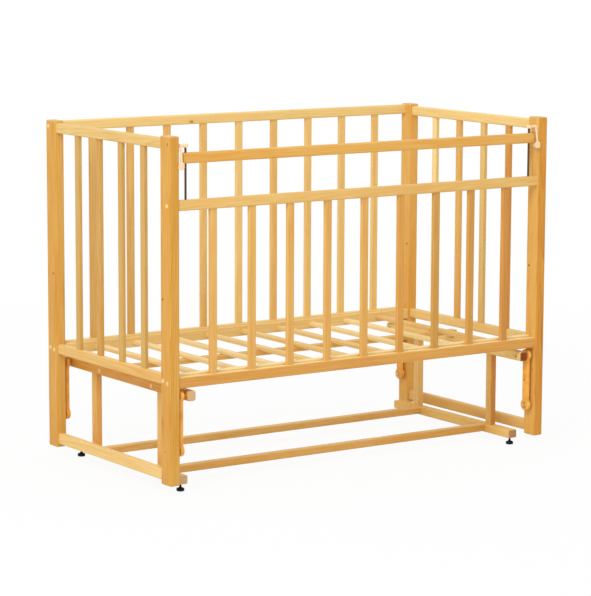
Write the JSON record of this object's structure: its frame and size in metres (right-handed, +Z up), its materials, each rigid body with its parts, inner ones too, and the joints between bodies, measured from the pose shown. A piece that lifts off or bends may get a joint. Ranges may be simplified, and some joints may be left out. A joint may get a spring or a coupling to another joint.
{
  "type": "swinging slatted crib",
  "caption": "Slatted wooden crib that swings on four pendulum arms in a low stand, with a front bar that drops on two rods behind sprung side latches.",
  "frame": {"origin": "on the floor, under the middle of the whole crib", "axes": "+X along the crib to its right end, +Y from the front with the drop bar to the back, +Z up"},
  "size_m": [1.2652, 0.6644, 0.952],
  "materials": {
    "timber": "clear satin lacquer",
    "rod_steel": "drawn and darkened",
    "latch_plastic": "moulded, ivory",
    "arm_plastic": "moulded, amber yellow",
    "glide_plastic": "moulded, black"
  },
  "bodies": {
    "stand": {"foot_left": "timber", "foot_right": "timber", "stretcher_front": "timber", "stretcher_back": "timber", "upright_front_left": "timber", "upright_back_left": "timber", "upright_front_right": "timber", "upright_back_right": "timber", "beam_left": "timber", "beam_right": "timber"},
    "front_left_arm": {"arm_front_left": "arm_plastic"},
    "back_left_arm": {"arm_back_left": "arm_plastic"},
    "front_right_arm": {"arm_front_right": "arm_plastic"},
    "back_right_arm": {"arm_back_right": "arm_plastic"},
    "cradle": {"post_front_left": "timber", "post_back_left": "timber", "post_front_right": "timber", "post_back_right": "timber", "end_top_rail_left": "timber", "end_top_rail_right": "timber", "end_slat_frame_left": "timber", "end_slat_frame_right": "timber", "end_leg_rail_left": "timber", "end_leg_rail_right": "timber", "back_top_rail": "timber", "back_bottom_rail": "timber", "back_slat_1": "timber", "back_slat_2": "timber", "back_slat_3": "timber", "back_slat_4": "timber", "back_slat_5": "timber", "back_slat_6": "timber", "back_slat_7": "timber", "back_slat_8": "timber", "back_slat_9": "timber", "front_mid_rail": "timber", "front_bottom_rail": "timber", "front_slat_1": "timber", "front_slat_2": "timber", "front_slat_3": "timber", "front_slat_4": "timber", "front_slat_5": "timber", "front_slat_6": "timber", "front_slat_7": "timber", "front_slat_8": "timber", "front_slat_9": "timber", "mattress_slats": "timber", "base_side_rail_front": "timber", "base_side_rail_back": "timber", "guide_rod_left": "rod_steel", "guide_rod_right": "rod_steel", "latch_bracket_left": "latch_plastic", "latch_bracket_right": "latch_plastic"},
    "drop_bar": {"drop_bar": "timber"},
    "left_latch": {"latch_tongue_left": "latch_plastic"},
    "right_latch": {"latch_tongue_right": "latch_plastic"},
    "front_left_glide": {"glide_front_left": "glide_plastic"},
    "back_left_glide": {"glide_back_left": "glide_plastic"},
    "front_right_glide": {"glide_front_right": "glide_plastic"},
    "back_right_glide": {"glide_back_right": "glide_plastic"}
  },
  "joints": [
    {"name": "swing", "type": "hinge", "parent": "stand", "child": "front_left_arm", "pos_m": [-0.58725, -0.30185, 0.266], "axis": [1, 0, 0], "range_deg": [-15, 15]},
    {"name": "cradle_hang", "type": "hinge", "parent": "front_left_arm", "child": "cradle", "pos_m": [-0.58725, -0.30185, 0.12], "axis": [1, 0, 0], "range_deg": [-15, 15]},
    {"name": "back_left_arm_swing", "type": "hinge", "parent": "stand", "child": "back_left_arm", "pos_m": [-0.58725, 0.30815, 0.266], "axis": [1, 0, 0], "range_deg": [-15, 15]},
    {"name": "front_right_arm_swing", "type": "hinge", "parent": "stand", "child": "front_right_arm", "pos_m": [0.58725, -0.30185, 0.266], "axis": [1, 0, 0], "range_deg": [-15, 15]},
    {"name": "back_right_arm_swing", "type": "hinge", "parent": "stand", "child": "back_right_arm", "pos_m": [0.58725, 0.30815, 0.266], "axis": [1, 0, 0], "range_deg": [-15, 15]},
    {"name": "drop_bar_slide", "type": "slide", "parent": "cradle", "child": "drop_bar", "axis": [0, 0, 1], "range_m": [-0.094, 0]},
    {"name": "left_latch_flex", "type": "hinge", "parent": "cradle", "child": "left_latch", "pos_m": [-0.588, -0.31185, 0.921], "axis": [0, 1, 0], "range_deg": [0, 5], "stiffness_Nm_per_rad": 2.5},
    {"name": "right_latch_flex", "type": "hinge", "parent": "cradle", "child": "right_latch", "pos_m": [0.588, -0.31185, 0.921], "axis": [0, -1, 0], "range_deg": [0, 5], "stiffness_Nm_per_rad": 2.5},
    {"name": "front_left_glide_turn", "type": "hinge", "parent": "stand", "child": "front_left_glide", "pos_m": [-0.5615, -0.26285, 0], "axis": [0, 0, 1], "continuous": true},
    {"name": "back_left_glide_turn", "type": "hinge", "parent": "stand", "child": "back_left_glide", "pos_m": [-0.5615, 0.26915, 0], "axis": [0, 0, 1], "continuous": true},
    {"name": "front_right_glide_turn", "type": "hinge", "parent": "stand", "child": "front_right_glide", "pos_m": [0.5615, -0.26285, 0], "axis": [0, 0, 1], "continuous": true},
    {"name": "back_right_glide_turn", "type": "hinge", "parent": "stand", "child": "back_right_glide", "pos_m": [0.5615, 0.26915, 0], "axis": [0, 0, 1], "continuous": true}
  ],
  "couplings": [
    {"joint": "cradle_hang", "follows": "swing", "ratio": -1},
    {"joint": "back_left_arm_swing", "follows": "swing", "ratio": 1},
    {"joint": "front_right_arm_swing", "follows": "swing", "ratio": 1},
    {"joint": "back_right_arm_swing", "follows": "swing", "ratio": 1}
  ]
}
